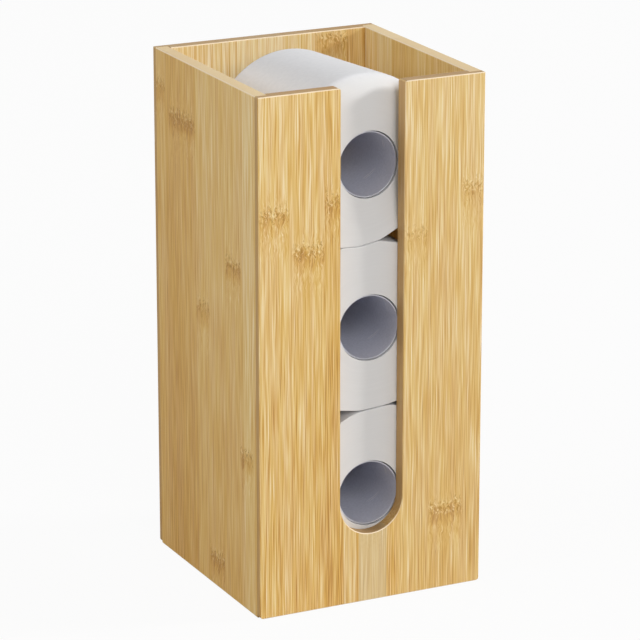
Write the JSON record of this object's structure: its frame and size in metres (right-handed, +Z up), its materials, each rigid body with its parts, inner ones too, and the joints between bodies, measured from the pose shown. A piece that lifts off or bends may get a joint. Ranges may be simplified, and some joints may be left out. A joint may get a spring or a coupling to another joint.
{
  "type": "toilet paper stand",
  "caption": "Tall open-topped bamboo box that stands on the floor and stores toilet rolls stacked on their sides, with a round-ended finger slot down its front.",
  "frame": {"origin": "on the floor, under the middle of the box", "axes": "+Z up, -Y out of the slotted front, +X to the right when looking at the front"},
  "size_m": [0.16, 0.16, 0.3482],
  "materials": {
    "bamboo_board": "satin",
    "bamboo_side_board": "satin",
    "tissue_paper": "matte",
    "grey_cardboard": "matte"
  },
  "bodies": {
    "box": {"front_panel": "bamboo_board", "back_panel": "bamboo_board", "left_panel": "bamboo_side_board", "right_panel": "bamboo_side_board", "base_panel": "bamboo_board"},
    "bottom_roll": {"bottom_roll_paper": "tissue_paper", "bottom_roll_core": "grey_cardboard"},
    "middle_roll": {"middle_roll_paper": "tissue_paper", "middle_roll_core": "grey_cardboard"},
    "top_roll": {"top_roll_paper": "tissue_paper", "top_roll_core": "grey_cardboard"}
  },
  "joints": [
    {"name": "bottom_roll_lift", "type": "slide", "parent": "box", "child": "bottom_roll", "axis": [0, 0, 1], "range_m": [0, 0.335]},
    {"name": "middle_roll_lift", "type": "slide", "parent": "bottom_roll", "child": "middle_roll", "axis": [0, 0, 1], "range_m": [0, 0.225]},
    {"name": "top_roll_lift", "type": "slide", "parent": "middle_roll", "child": "top_roll", "axis": [0, 0, 1], "range_m": [0, 0.115]}
  ]
}
